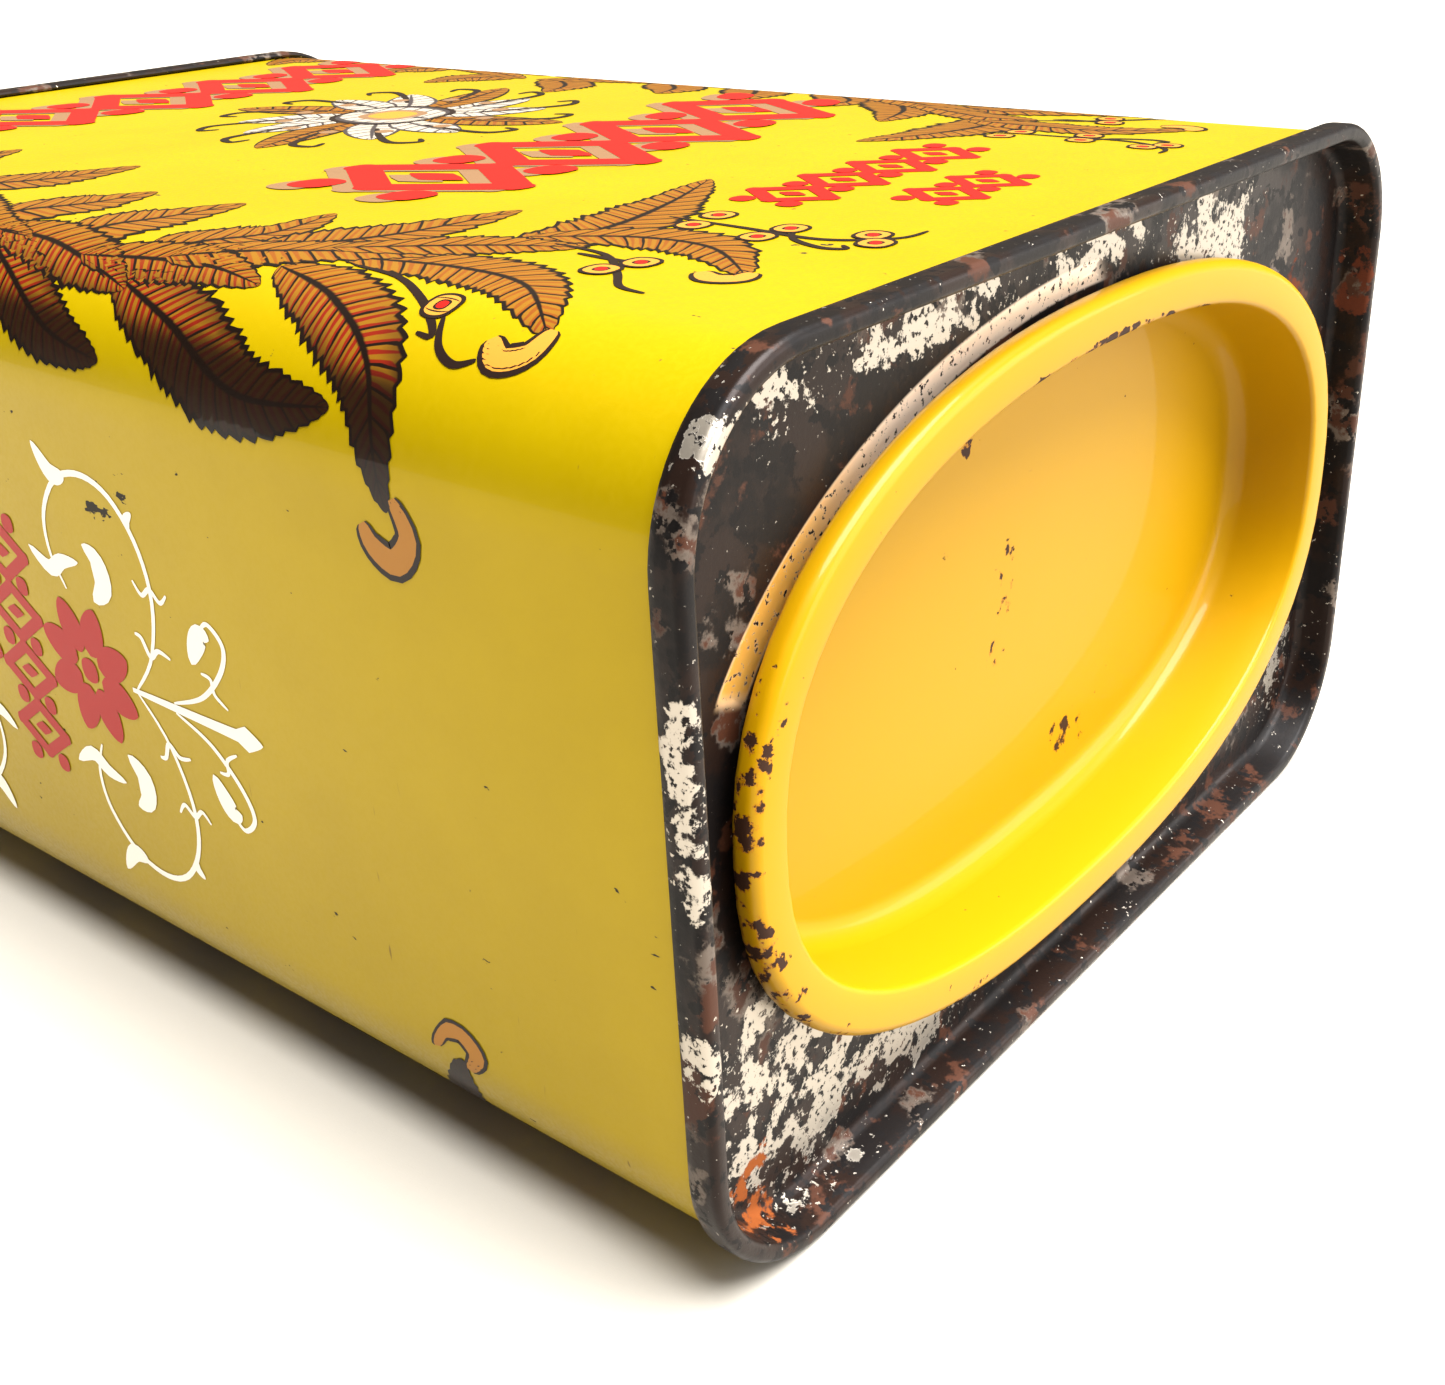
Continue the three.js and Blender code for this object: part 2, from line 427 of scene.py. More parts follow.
def bend(inset, depth, radius, start, end, steps=6):
    """Points round a bend. 0 degrees points inwards and 90 points deeper."""
    angles = [math.radians(start + (end - start) * step / steps) for step in range(steps + 1)]
    return [(inset + radius * math.cos(a), depth + radius * math.sin(a)) for a in angles]


def draw_sheet(name, rings):
    bpy.ops.object.select_all(action="DESELECT")
    bpy.ops.mesh.primitive_circle_add(vertices=len(rings[0]), fill_type="NOTHING")
    piece = bpy.context.object
    piece.name = name
    for vertex, point in zip(piece.data.vertices, rings[0]):
        vertex.co = point
    bpy.ops.object.mode_set(mode="EDIT")
    mesh = bmesh.from_edit_mesh(piece.data)
    station = mesh.verts.layers.int.new("station")
    for vertex in mesh.verts:
        vertex[station] = vertex.index
    bpy.ops.mesh.select_all(action="SELECT")
    for ring in rings[1:]:
        bpy.ops.mesh.extrude_region_move()
        mesh = bmesh.from_edit_mesh(piece.data)
        station = mesh.verts.layers.int["station"]
        for vertex in mesh.verts:
            if vertex.select:
                vertex.co = ring[vertex[station]]
    return piece


def finish_sheet(piece, outwards, thickness, smooth_angle=40):
    """Faces the drawn side outwards, thickens it inwards and shades it smooth."""
    bpy.ops.mesh.select_all(action="SELECT")
    bpy.ops.mesh.normals_make_consistent(inside=False)
    bpy.ops.object.mode_set(mode="OBJECT")
    outermost = max(piece.data.polygons, key=lambda face: face.center.dot(outwards))
    if outermost.normal.dot(outwards) < 0:
        piece.data.flip_normals()
    solidify = piece.modifiers.new("thickness", "SOLIDIFY")
    solidify.thickness = thickness
    solidify.offset = -1
    solidify.use_even_offset = True
    bpy.ops.object.modifier_apply(modifier=solidify.name)
    bpy.ops.object.shade_smooth_by_angle(angle=math.radians(smooth_angle))
    piece.data.attributes.remove(piece.data.attributes["station"])
    print(piece.name, "faces:", len(piece.data.polygons))
    return piece


# %% [markdown]
# ## The end seams
#
# Each end is locked to the body by a double seam: the end's edge is rolled round the
# body's edge and pressed flat, so a rounded bead stands proud all round. Inside the bead
# the chuck wall drops to the sunk panel. A bevelled ring could stand in for the bead, but
# one profile from the body's edge to the panel keeps every bend its own radius.

# %% Profile of a seam
SEAM_HEIGHT = 2.6
SEAM_THICKNESS = 1.5
SEAM_INSET = body_inset / MM
PANEL_DEPTH = 3.6
PANEL_FILLET = 0.9


def seam_profile():
    return [
        (SEAM_INSET - 0.06, SEAM_HEIGHT - 0.7),
        (SEAM_INSET - 0.06, SEAM_HEIGHT - 0.35),
        (SEAM_INSET - 0.2, SEAM_HEIGHT - 0.08),
        (SEAM_INSET - 0.4, SEAM_HEIGHT),
        (0.2, SEAM_HEIGHT - 0.07),
        (0.06, SEAM_HEIGHT - 0.35),
        (0, SEAM_HEIGHT - 0.8),
        (0, 1.1),
        *bend(0.6, 0.62, 0.6, 170, 262),
        *bend(SEAM_THICKNESS - 0.55, 0.57, 0.55, 278, 352),
        (SEAM_THICKNESS + 0.06, 1.3),
        (SEAM_THICKNESS + 0.16, 2.1),
        *bend(SEAM_THICKNESS + 0.25 + PANEL_FILLET, PANEL_DEPTH - PANEL_FILLET, PANEL_FILLET, 176, 90),
    ]


# %% [markdown]
# ## The lid end
#
# One stamping: the seam, the sunk panel, and a neck turned down into the tin round the
# oval mouth. Between seam and neck the rings turn from the rectangle into the oval. A hole
# cut with a boolean would be quicker, but it leaves long thin faces round the mouth.

# %% Lid end
RIM_WIDTH = 3.6
NECK_INSET = RIM_WIDTH - 0.55
NECK_LENGTH = 4.4
MOUTH_RADIUS = 0.6
PANEL_RINGS = 6


def lid_end_rings():
    rings = [ring_points(seam_outline, inset, depth) for inset, depth in seam_profile()]
    mouth = ring_points(lid_outline, NECK_INSET - MOUTH_RADIUS, PANEL_DEPTH)
    edge = rings[-1]
    for step in range(1, PANEL_RINGS):
        share = step / PANEL_RINGS
        rings.append([a.lerp(b, share) for a, b in zip(edge, mouth)])
    turn = bend(NECK_INSET - MOUTH_RADIUS, PANEL_DEPTH + MOUTH_RADIUS, MOUTH_RADIUS, 270, 360, 5)
    turn.append((NECK_INSET, PANEL_DEPTH + NECK_LENGTH))
    rings += [ring_points(lid_outline, inset, depth) for inset, depth in turn]
    return rings


lid_end = draw_sheet("lid_end_sheet", lid_end_rings())
finish_sheet(lid_end, Vector((0, -1, 0)), sheet)
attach(lid_end, "tin")
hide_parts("lid_end")

# %% [markdown]
# ## The base end
#
# The same seam, but the panel is closed. A low step presses its middle outwards, which
# keeps a large flat sheet from drumming. It is drawn from the base's crest inwards, and one
# face fills what is left of the panel.

# %% Base end
STEP_INSET = 7
STEP_RISE = 0.8
STEP_RUN = 1.2


def base_end_profile():
    raised = PANEL_DEPTH - STEP_RISE
    return [
        *seam_profile(),
        (STEP_INSET - 0.5, PANEL_DEPTH),
        (STEP_INSET - 0.1, PANEL_DEPTH - 0.05),
        (STEP_INSET + STEP_RUN / 2, (PANEL_DEPTH + raised) / 2),
        (STEP_INSET + STEP_RUN + 0.1, raised + 0.05),
        (STEP_INSET + STEP_RUN + 0.5, raised),
    ]


base_end = draw_sheet(
    "base_end_sheet",
    [ring_points(seam_outline, inset, depth, from_base=True) for inset, depth in base_end_profile()],
)
bpy.ops.mesh.edge_face_add()
finish_sheet(base_end, Vector((0, 1, 0)), sheet)
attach(base_end, "tin")
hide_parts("base_end")

# %% [markdown]
# ## The lever lid
#
# A shallow pan. Its edge is rolled under all round, which gives a coin or a spoon handle
# something to prise against, and its wall is a tight fit in the neck. A spin can't make an
# oval, so the pan is drawn ring by ring like the ends.

# %% Lever lid
RIM_TOP = (rim_depth - seam_low.y) / MM
RIM_BOTTOM = 2.75
RIM_OUTER_RADIUS = 0.95
RIM_INNER_RADIUS = 0.5
WELL_DEPTH = 8.4
WELL_FILLET = 2.2
FLOOR_RINGS = 8


def lid_profile():
    well_floor = RIM_TOP + WELL_DEPTH
    return [
        (1.0, RIM_BOTTOM - 0.75),
        (0.95, RIM_BOTTOM - 0.3),
        (0.7, RIM_BOTTOM - 0.05),
        (0.4, RIM_BOTTOM),
        (0.12, RIM_BOTTOM - 0.18),
        (0, RIM_BOTTOM - 0.55),
        *bend(RIM_OUTER_RADIUS, RIM_TOP + RIM_OUTER_RADIUS, RIM_OUTER_RADIUS, 180, 265, 8),
        (RIM_WIDTH - RIM_INNER_RADIUS - 0.6, RIM_TOP + 0.06),
        *bend(RIM_WIDTH - RIM_INNER_RADIUS, RIM_TOP + 0.1 + RIM_INNER_RADIUS, RIM_INNER_RADIUS, 275, 358),
        (RIM_WIDTH + 0.08, RIM_TOP + 2.6),
        (RIM_WIDTH + 0.16, RIM_TOP + 4.4),
        *bend(RIM_WIDTH + 0.3 + WELL_FILLET, well_floor - WELL_FILLET, WELL_FILLET, 176, 90, 9),
    ]


def lid_rings():
    rings = [ring_points(lid_outline, inset, depth) for inset, depth in lid_profile()]
    edge = rings[-1]
    centre = Vector((0, edge[0].y, middle_z))
    for step in range(1, FLOOR_RINGS):
        rings.append([point.lerp(centre, step / FLOOR_RINGS) for point in edge])
    return rings


lever_lid = draw_sheet("lever_lid_sheet", lid_rings())
bpy.ops.mesh.edge_face_add()
finish_sheet(lever_lid, Vector((0, -1, 0)), sheet)
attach(lever_lid, "lid")
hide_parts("lever_lid")

# %% [markdown]
# ## The body
#
# The body is a tube, so it starts as a box. Its four long edges are bevelled to the corner
# radius, its two ends are opened, and the wall gets its thickness. The outline could be
# extruded instead, but a bevelled box is how the flat faces stay single and true.

# %% Body
BODY_CORNER_SEGMENTS = 24
BODY_CUTS = 24
TOUCHING = 0.001 * MM
body_radius = corner_radius - body_inset


def is_long_edge(edge):
    a, b = (vertex.co for vertex in edge.verts)
    return abs(a.x - b.x) < TOUCHING and abs(a.z - b.z) < TOUCHING


bpy.ops.object.select_all(action="DESELECT")
bpy.ops.mesh.primitive_cube_add(size=1)
body = bpy.context.object
body.name = "body_sheet"
for vertex in body.data.vertices:
    for axis in range(3):
        vertex.co[axis] = body_low[axis] if vertex.co[axis] < 0 else body_high[axis]
bpy.ops.object.mode_set(mode="EDIT")
mesh = bmesh.from_edit_mesh(body.data)
for edge in mesh.edges:
    edge.select_set(is_long_edge(edge))
bpy.ops.mesh.bevel(offset=body_radius, segments=BODY_CORNER_SEGMENTS, affect="EDGES")
mesh = bmesh.from_edit_mesh(body.data)
bpy.ops.mesh.select_all(action="DESELECT")
for face in mesh.faces:
    face.select_set(abs(face.normal.y) > 0.9)
bpy.ops.mesh.delete(type="FACE")
mesh = bmesh.from_edit_mesh(body.data)
bpy.ops.mesh.select_all(action="DESELECT")
for edge in mesh.edges:
    edge.select_set(is_long_edge(edge))
bpy.ops.mesh.subdivide(number_cuts=BODY_CUTS)
mesh.verts.layers.int.new("station")
finish_sheet(body, Vector((0, 0, 1)), sheet)
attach(body, "tin")
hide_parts("body_wall")
print("body corner radius, mm:", round(body_radius / MM, 2))

# %% [markdown]
# ## Printed tinplate
#
# The body is litho printed: translucent yellow ink on bright metal under a clear varnish.
# Some of the metal's shine comes through the ink, so it is part metallic.

# %% Printed tinplate
printed = new_finish(
    "printed_tinplate", Base_Color=srgb(162, 138, 0), Metallic=0.32, Roughness=0.3,
    Specular_IOR_Level=0.1, Coat_Weight=0.12, Coat_Roughness=0.06, Coat_IOR=1.5,
)
tree = printed.node_tree
cover(printed, step_between(tree, grain(tree, 0.018), 0.3, 0.7), Base_Color=srgb(157, 133, 0))
fine = grain(tree, 0.0004, detail=2)
cover(printed, step_between(tree, fine, 0.35, 0.65), Roughness=0.40)
emboss(printed, grain(tree, 0.03, detail=1), 0.0002, 0.35)
emboss(printed, fine, 0.00001, 0.25)
RUBBED = [((-48, -11, 56), (2, 9, 3)), ((-50, -18, 47), (3, 6, 4)), ((-20, -60, 66), (5, 4, 3))]
specks = grain(tree, 0.0012, detail=3, stretch=(1, 0.5, 1))
rubbed = together(tree, [near(tree, place, reach) for place, reach in RUBBED])
cover(printed, speckle(tree, specks, rubbed, 0.16), Base_Color=srgb(40, 34, 26), Roughness=0.7)
scuff = grain(tree, 0.0016, detail=3, stretch=(1, 1, 0.12))
cover(printed, speckle(tree, scuff, 1.0, 0.0), Base_Color=srgb(120, 96, 22), Roughness=0.5)
body.data.materials.append(printed)

# %% [markdown]
# ## Yellow enamel
#
# The lid is covered with opaque enamel. It chips first along the bends of the rim, and the
# steel below rusts.

# %% Yellow enamel
enamel = new_finish(
    "yellow_enamel", Base_Color=srgb(153, 114, 0), Metallic=0.0, Roughness=0.4,
    Specular_IOR_Level=0.1, Coat_Weight=0.13, Coat_Roughness=0.05, Coat_IOR=1.5,
)
tree = enamel.node_tree
emboss(enamel, grain(tree, 0.012, detail=1), 0.0002, 0.3)
LID_CHIPS = [
    ((-1.5, -66, 34.5), (2.4, 3, 6)), ((10, -66, 16), (8, 4, 4)), ((-30, -68, 11), (4, 4, 2)),
    ((-20, -73, 8.5), (9, 3, 2)), ((26, -73, 9), (12, 3, 2)), ((19, -69, 14), (4, 3, 2.5)),
    ((-8, -66, 48), (1.5, 3, 1.5)), ((-3, -66, 28.5), (2.4, 3, 3.6)), ((-37, -73, 14), (5, 3, 6)),
]
crease = between(tree, oval_distance(tree, 41.6 * MM, 23.1 * MM), 0.985, 1.015, 0.02)
crease = sums(tree, "MULTIPLY", crease, near(tree, (2, -73, 60), (48, 9, 22)))
outer_edge = step_between(tree, oval_distance(tree, lid_width / 2, lid_height / 2), 0.96, 0.995)
outer_edge = sums(tree, "MULTIPLY", outer_edge, near(tree, (-45, -73, 28), (14, 6, 30)))
chip_grain = grain(tree, 0.0017, detail=5)
worn = [near(tree, place, reach) for place, reach in LID_CHIPS]
worn = together(tree, worn + [crease, outer_edge])
halo = speckle(tree, chip_grain, worn, 0.235, 0.06)
chips = speckle(tree, chip_grain, worn, 0.20)
cover(enamel, halo, Base_Color=srgb(146, 88, 8))
cover(enamel, chips, Base_Color=srgb(44, 24, 13), Roughness=0.75, Coat_Weight=0.1)
emboss(enamel, sums(tree, "SUBTRACT", 1.0, chips), 0.00008, 0.8)
lever_lid.data.materials.append(enamel)

# %% [markdown]
# ## Aged tinplate
#
# Bare tinplate on the ends has gone dark. The tin is still bright in patches and specks,
# and rust has started where water stands. One bright patch, on the lid seam's top left
# corner, is a painted highlight.

# %% Aged tinplate
aged = new_finish(
    "aged_tinplate", Base_Color=srgb(28, 18, 14), Metallic=0.2, Roughness=0.34,
    Specular_IOR_Level=0.15,
)
tree = aged.node_tree
broad = grain(tree, 0.006, detail=5)
cover(aged, step_between(tree, broad, 0.44, 0.56), Base_Color=srgb(15, 11, 10), Roughness=0.46)
dull_tin = step_between(tree, grain(tree, 0.008, detail=10), 0.56, 0.60)
cover(aged, dull_tin, Base_Color=srgb(92, 82, 74), Metallic=0.5)
brown_film = step_between(tree, grain(tree, 0.004, detail=8), 0.56, 0.62)
cover(aged, brown_film, Base_Color=srgb(58, 32, 20), Metallic=0.0, Roughness=0.5)
black_specks = step_between(tree, grain(tree, 0.0016, detail=8), 0.54, 0.58)
cover(aged, black_specks, Base_Color=srgb(12, 9, 9), Roughness=0.5)
BRIGHT_PATCHES_AND_HIGHLIGHT = [
    ((-37, -72, 60), (5, 4, 4)), ((-22, -72, 61.5), (20, 4, 3.5)), ((20, -72, 59), (15, 4, 7)),
    ((-38, -72, 12), (15, 4, 17)), ((-20, -72, 7), (24, 4, 6)), ((14, -72, 5), (16, 4, 4)),
    ((-51, -75, 40), (2.5, 4, 12)), ((-51, -75, 22), (2.5, 4, 5)), ((42, -72, 12), (7, 4, 11)),
    ((2, -72, 62), (14, 4, 3.5)),
    ((-28, 72, 18), (13, 4, 9)), ((22, 72, 48), (16, 4, 7)), ((50, 74, 20), (3, 4, 12)),
    # painted highlight: the next patch is where the lid seam's top left corner catches the light
    ((-47, -75, 61), (4, 3, 4)),
]
flecks = grain(tree, 0.0006, detail=5)
blotches = grain(tree, 0.003, detail=10)
bright_and_highlight_area = together(tree, [near(tree, place, reach) for place, reach in BRIGHT_PATCHES_AND_HIGHLIGHT])
patches_and_highlight = speckle(tree, blotches, bright_and_highlight_area, 0.27, 0.03)
pits = step_between(tree, flecks, 0.40, 0.46)
stray = speckle(tree, flecks, sums(tree, "ADD", bright_and_highlight_area, 0.45), 0.125, 0.05)
bright = sums(tree, "MAXIMUM", sums(tree, "MULTIPLY", patches_and_highlight, pits), stray)
# bright tin in real worn patches and specks, plus one painted highlight on the seam's corner
cover(aged, bright, Base_Color=srgb(178, 170, 158), Metallic=0.85, Roughness=0.32)
from_lid = oval_distance(tree, lid_width / 2, lid_height / 2)
kept_clean = between(tree, from_lid, 1.005, 1.062, 0.01)
covered_side = step_between(tree, near(tree, (-27, -72, 56), (34, 6, 18)), 0.05, 0.15)
kept_clean = sums(tree, "MULTIPLY", kept_clean, covered_side)
kept_clean = sums(tree, "MULTIPLY", kept_clean, step_between(tree, flecks, 0.38, 0.44))
# painted reflection: part of the clean band is tinted yellow for the yellow paint it mirrors
yellow_reflection_area = near(tree, (-44, -72, 46), (24, 8, 20))
cover(aged, kept_clean, Base_Color=srgb(226, 206, 186), Metallic=0.6, Roughness=0.32)
cover(aged, sums(tree, "MULTIPLY", kept_clean, yellow_reflection_area), Base_Color=srgb(224, 168, 76))
RUST_PLACES = [
    ((-44, -72, 5), (6, 5, 6)), ((46, -72, 26), (3, 5, 18)), ((40, -72, 50), (5, 4, 8)),
    ((-44, -73.5, 28), (2.5, 3, 8)), ((49, -74, 50), (3, 4, 8)), ((36, 72, 9), (12, 4, 5)),
]
rust_area = together(tree, [near(tree, place, reach) for place, reach in RUST_PLACES])
rust = speckle(tree, grain(tree, 0.0018, detail=10), rust_area, 0.235, 0.08)
cover(aged, rust, Base_Color=srgb(78, 36, 18), Metallic=0.0, Roughness=0.85)
fresh = sums(tree, "MULTIPLY", rust, near(tree, (-43, -72, 5), (9, 6, 8)))
cover(aged, fresh, Base_Color=srgb(112, 56, 18))
emboss(aged, flecks, 0.00004, 0.5)
emboss(aged, sums(tree, "SUBTRACT", 1.0, bright), 0.00003, 0.5)
lid_end.data.materials.append(aged)
base_end.data.materials.append(aged)

# %% [markdown]
# ## Solder and sealing compound
#
# These stay as the frame made them. They show only when the lid is out, and get the same
# kind of finish as the rest.

# %% Solder and compound
solder = new_finish("dull_solder", Base_Color=srgb(158, 156, 152), Metallic=0.9, Roughness=0.38)
tree = solder.node_tree
ripple = grain(tree, 0.0015, detail=4)
cover(solder, step_between(tree, ripple, 0.45, 0.65), Base_Color=srgb(104, 100, 96), Roughness=0.55)
emboss(solder, ripple, 0.0001, 0.6)

compound = new_finish("grey_compound", Base_Color=srgb(104, 98, 84), Roughness=0.7)
tree = compound.node_tree
lumps = grain(tree, 0.0008, detail=3)
cover(compound, step_between(tree, lumps, 0.4, 0.7), Base_Color=srgb(78, 72, 60), Roughness=0.8)
emboss(compound, lumps, 0.00008, 0.6)

for node_name, finish in (
    ("side_seam_solder", solder),
    ("lid_end_seam_compound", compound),
    ("base_end_seam_compound", compound),
):
    for material_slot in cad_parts[node_name].material_slots:
        material_slot.material = finish
    print(node_name, "finish:", finish.name, len(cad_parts[node_name].material_slots))

# %% [markdown]
# ## The print
#
# A tin's design is printed on the flat sheet before the sheet is bent, and it is drawn that
# way here too. Every mark is a strip of grid laid along a line on a flat plan, and the plan
# is then wrapped round the body. The design is this file's own: a wreath of leaves with
# berries, two bands of lozenges, a rosette, and white scrolls on the narrow sides.
#
# Plan points are `(along, around)` in millimetres. `along` starts at the lid end's crest.
# `around` is 0 in the middle of the front and grows over the corner towards -X.

# %% From the flat plan to the body
flat_x = tin_width / 2 - corner_radius
flat_z = tin_thickness / 2 - corner_radius
quarter_bend = body_radius * math.pi / 2


def on_body(along, around, lift):
    """A plan point and the way out of the body there. Travel starts at the front's middle."""
    travel = abs(around) * MM
    before_corner = travel - flat_x
    before_side = before_corner - quarter_bend
    before_low_corner = before_side - 2 * flat_z
    before_back = before_low_corner - quarter_bend
    if before_corner < 0:
        centre, angle = (travel, flat_z), 0.0
    elif before_side < 0:
        centre, angle = (flat_x, flat_z), before_corner / body_radius
    elif before_low_corner < 0:
        centre, angle = (flat_x, flat_z - before_side), math.pi / 2
    elif before_back < 0:
        centre, angle = (flat_x, -flat_z), math.pi / 2 + before_low_corner / body_radius
    else:
        centre, angle = (flat_x - before_back, -flat_z), math.pi
    out = Vector((-math.copysign(math.sin(angle), around), 0, math.cos(angle)))
    base = Vector((-math.copysign(centre[0], around), seam_low.y + along * MM, middle_z + centre[1]))
    return base + out * (body_radius + lift), out


print("body corner's quarter bend, mm:", round(quarter_bend / MM, 2))

# %% [markdown]
# ### Marks
#
# Each mark is a strip of faces, a hair above the sheet. An image would be quicker, but
# strips stay sharp at any size and carry their own UVs for the hatching.

# %% Marks
LOWEST_LIFT = 0.04 * MM
LIFT_STEP = 0.0008 * MM
DARK_FROM = 40.5
DARK_RUN = 10
marks = {}
layers = {"laid": 0}


def start_motif():
    """Each mark lies a hair above the one before, and each motif starts from the sheet again."""
    layers["laid"] = 0


def point_on_line(points, share):
    """A smooth curve through the points (Catmull-Rom). Share runs from 0 to 1."""
    spans = len(points) - 1
    span = min(int(share * spans), spans - 1)
    t = share * spans - span
    a, b, c, d = (points[min(max(span + k, 0), spans)] for k in (-1, 0, 1, 2))
    return 0.5 * (2 * b + (c - a) * t + (2 * a - 5 * b + 4 * c - d) * t ** 2
                  + (3 * b - a - 3 * c + d) * t ** 3)


def same_place(point):
    return point


def tone_and_corner_shade(point):
    """The wreath is gold on the front and darkens as it nears the corner: partly its printed colour,
    partly painted shade for the dark room that the glossy corner reflects.
    """
    share = min(max((point.y - DARK_FROM) / DARK_RUN, 0), 1)
    return share * share * (3 - 2 * share)


def lay_mark(ink, points, half_width, steps=16, across=2, lean=0.0, place=same_place):
    """Adds a grid and lays it along a line. `half_width` gives millimetres at each share."""
    points = [Vector(point) for point in points]
    bpy.ops.mesh.primitive_grid_add(x_subdivisions=steps, y_subdivisions=across, size=2)
    mark = bpy.context.object
    lift = LOWEST_LIFT + LIFT_STEP * layers["laid"]
    layers["laid"] += 1
    tone = mark.data.attributes.new("tone", "FLOAT", "POINT")
    corner_places = {}
    for vertex in mark.data.vertices:
        share, side = (vertex.co.x + 1) / 2, vertex.co.y
        centre = point_on_line(points, share)
        ahead = point_on_line(points, min(share + 0.01, 1)) - point_on_line(points, max(share - 0.01, 0))
        ahead = ahead.normalized()
        reach = side * half_width(share)
        spot = centre + Vector((-ahead.y, ahead.x)) * reach + ahead * abs(reach) * lean
        tone.data[vertex.index].value = tone_and_corner_shade(spot)
        corner_places[vertex.index] = (share, side)
        vertex.co = on_body(*place(spot), lift)[0]
    length = sum((b - a).length for a, b in zip(points, points[1:]))
    for loop in mark.data.loops:
        share, side = corner_places[loop.vertex_index]
        mark.data.uv_layers.active.data[loop.index].uv = (share * length, (side + 1) / 2)
    mark.data.update()
    middle_face = mark.data.polygons[len(mark.data.polygons) // 2]
    middle_spot = place(point_on_line(points, 0.5))
    if middle_face.normal.dot(on_body(*middle_spot, 0)[1]) < 0:
        mark.data.flip_normals()
    marks.setdefault(ink, []).append(mark)


# %% [markdown]
# ### Widths
#
# A brush mark is its line and how wide it is on the way. These give the half width at each
# share of the line: a toothed leaf, a petal, a stroke, a disc, a taper and a lozenge.

# %% Widths
def leaf_width(widest, teeth, belly_at):
    """Widest about `belly_at` of the way along, with uneven teeth that lean to the tip."""
    power = math.log(0.5) / math.log(belly_at)

    def width(share):
        belly = math.sin(math.pi * min(share, 0.999) ** power) ** 0.85
        uneven = 0.18 + 0.16 * noise.noise(Vector((share * teeth * 0.7, widest, 0)))
        return widest * belly * (0.84 + uneven * (share * teeth % 1.0)) + 0.05
    return width


def petal_width(widest):
    return lambda share: widest * math.sin(math.pi * min(share, 0.999) ** 0.9) ** 0.8 + 0.05


def stroke_width(widest):
    return lambda share: widest * (0.35 + 0.65 * math.sin(math.pi * share) ** 0.6)


def disc_width(radius):
    return lambda share: radius * math.sqrt(max(1 - (2 * share - 1) ** 2, 0))


def tapered(start, end):
    return lambda share: start + (end - start) * share


def lozenge_width(widest):
    return lambda share: widest * (1 - abs(2 * share - 1))


def lay_dot(ink, centre, radius, place=same_place):
    along, around = centre
    lay_mark(ink, [(along - radius, around), (along + radius, around)], disc_width(radius),
             steps=14, across=4, place=place)


# %% [markdown]
# ### The wreath
#
# The leaves are serrated like a hop's or a nettle's. Each is one strip with a toothed
# width, and its finish draws the rib and the hatching from the strip's own UVs.

# %% Lines of the wreath
INNER_LEAVES = [
    ([(95, 37), (91, 33), (89, 29), (88, 23)], 4.6),
    ([(80, 42), (77, 38), (75.6, 35), (75, 30)], 4.8),
    ([(68, 43.5), (66, 39.5), (64.6, 35.5), (63.6, 29.5)], 5.0),
    ([(58, 43.5), (54.4, 40), (52, 35.5), (53.6, 28.6)], 4.6),
    ([(48, 42), (45.4, 36), (42.8, 30), (41.3, 20.6)], 5.2),
    ([(32, 31), (31, 22), (33, 13), (36.6, 3.8)], 4.6),
]
OUTER_LEAVES = [
    ([(97, 40), (90, 46), (83, 49.5), (76, 50)], 3.8),
    ([(80, 43), (71, 47), (63, 50.8), (55.8, 52.2)], 3.2),
    ([(58, 45.6), (49, 48.4), (40, 52), (30.4, 51.4)], 3.9),
    ([(43.5, 41.6), (35.5, 43.8), (28, 48.6), (24.6, 57)], 3.6),
    ([(40.5, 38.4), (32, 36.6), (24, 37.6), (16, 43.6)], 3.9),
    ([(34, 27.4), (27, 23.6), (20, 23.6), (12.8, 28.8)], 3.6),
]
STEM_LEAVES = [
    ([(97, 35), (88, 40), (80, 43), (72, 43.6)], 3.3),
    ([(78, 43.4), (70, 43.4), (62, 45), (56, 46.6)], 3.1),
    ([(64, 44.4), (56, 43.4), (50, 43), (43, 44)], 2.9),
    ([(55, 43), (47, 39.6), (40, 36), (34, 33.4)], 3.5),
    ([(44, 37), (38, 33), (33, 30), (28, 28)], 3.3),
]
CURLS = [
    [(24, 56), (22.9, 58.4), (24.4, 60.3), (26.4, 59.6), (27.2, 58.2)],
    [(16, 43), (16.3, 45.2), (18.3, 46), (19.8, 44.6)],
    [(12.9, 28), (12.8, 29.6), (14.4, 30.4), (16, 29.4)],
]
BERRIES = [
    (26.6, 14.8), (26, 18.4), (19, 16), (19.4, 19.3), (12.6, 15), (11, 17),
    (21.2, 29.4), (22.2, 32.2), (26.1, 42.6),
]
TENDRILS = [
    [(29.5, 17), (22, 17.4), (15, 17.8), (10.6, 15), (10, 12)],
    [(18.6, 16), (16.8, 18.6), (13.6, 19.9), (11.8, 19.4), (12.6, 18.6)],
    [(30.5, 28), (25, 28.8), (20.6, 32.4), (18, 35), (15.4, 35.6)],
    [(27, 29.4), (24, 29.6), (22, 29.6)],
    [(38, 39.6), (33, 40.2), (28.6, 42.2), (25.6, 44.2), (24.6, 45.4), (26, 45.3)],
    [(25, 43.6), (23.4, 46), (21.4, 47), (19.8, 46.4)],
]
BERRY_RINGS = [("outline", 1.45), ("gold", 1.15), ("outline", 0.6), ("red", 0.42)]
CURL_WIDTHS = [("outline", 1.35), ("gold", 0.9)]
TOOTH_LENGTH = 1.25
WREATH_MIDDLE = 98
SHORT_BRANCH = 53
FAR_MIDDLE = -14.5


